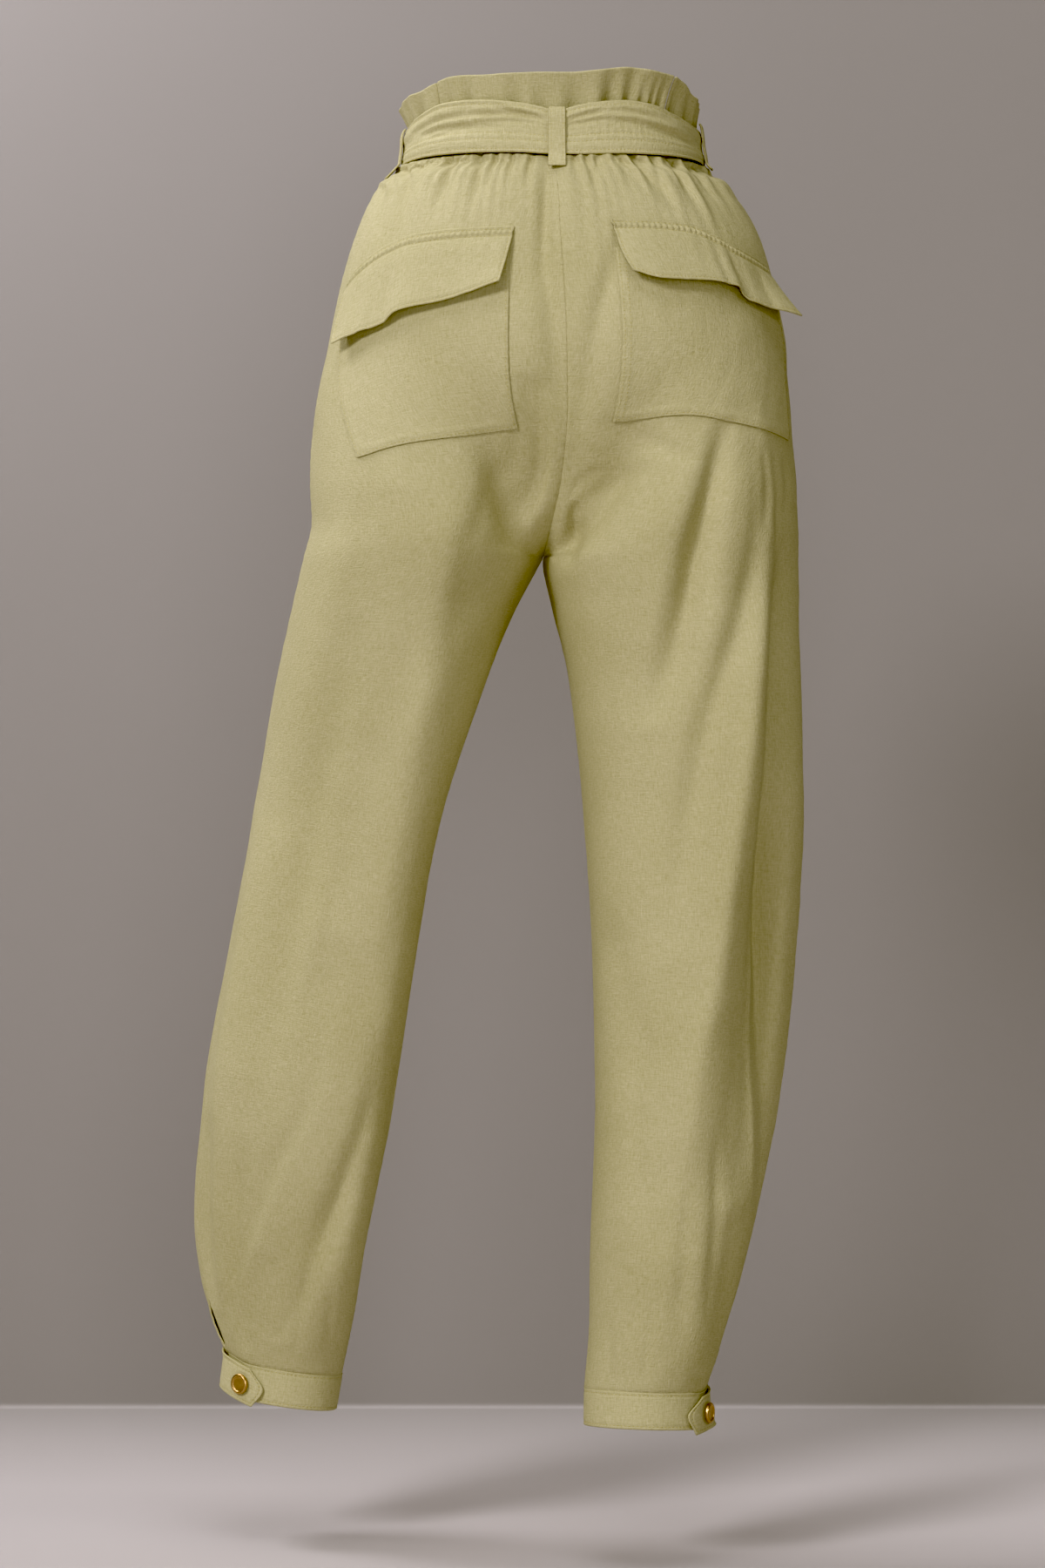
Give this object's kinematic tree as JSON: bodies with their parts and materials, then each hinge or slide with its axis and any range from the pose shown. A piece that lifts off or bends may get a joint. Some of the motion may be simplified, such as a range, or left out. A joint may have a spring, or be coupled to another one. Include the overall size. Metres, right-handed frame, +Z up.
{
  "type": "paperbag waist trousers",
  "caption": "High-waisted linen trousers with a frilled waist above a tie belt, flapped back pockets and tapered legs that end in buttoned cuffs, standing hollow as when worn.",
  "frame": {"origin": "centre of the waist inside the band, at the height of the middle of the belt; the wearer's waist holds the garment here", "axes": "+Z up along the body, -Y towards the front, +X towards the wearer's left"},
  "size_m": [0.4941, 0.2663, 1.0722],
  "materials": {
    "linen": "matte plain-weave linen with slubs, dusty lime",
    "linen_turned": "the same linen, folded double and topstitched",
    "gold_metal": "brushed light gold with a polished rim"
  },
  "bodies": {
    "root": {"back_panel_left": "linen", "back_panel_right": "linen", "front_panel_left": "linen", "front_panel_right": "linen", "back_pocket_left": "linen", "back_pocket_right": "linen", "back_flap_left": "linen", "back_flap_right": "linen", "front_pocket_edge_left": "linen_turned", "front_pocket_edge_right": "linen_turned", "waistband_back": "linen", "waistband_front": "linen", "belt": "linen_turned", "belt_knot": "linen_turned", "belt_end_left": "linen_turned", "belt_end_right": "linen_turned", "belt_loop_back": "linen_turned", "belt_loop_left": "linen_turned", "belt_loop_right": "linen_turned", "belt_loop_front_left": "linen_turned", "belt_loop_front_right": "linen_turned", "cuff_left": "linen_turned", "cuff_right": "linen_turned", "vent_placket_left": "linen_turned", "vent_placket_right": "linen_turned", "cuff_button_left": "gold_metal", "cuff_button_right": "gold_metal"}
  },
  "joints": []
}
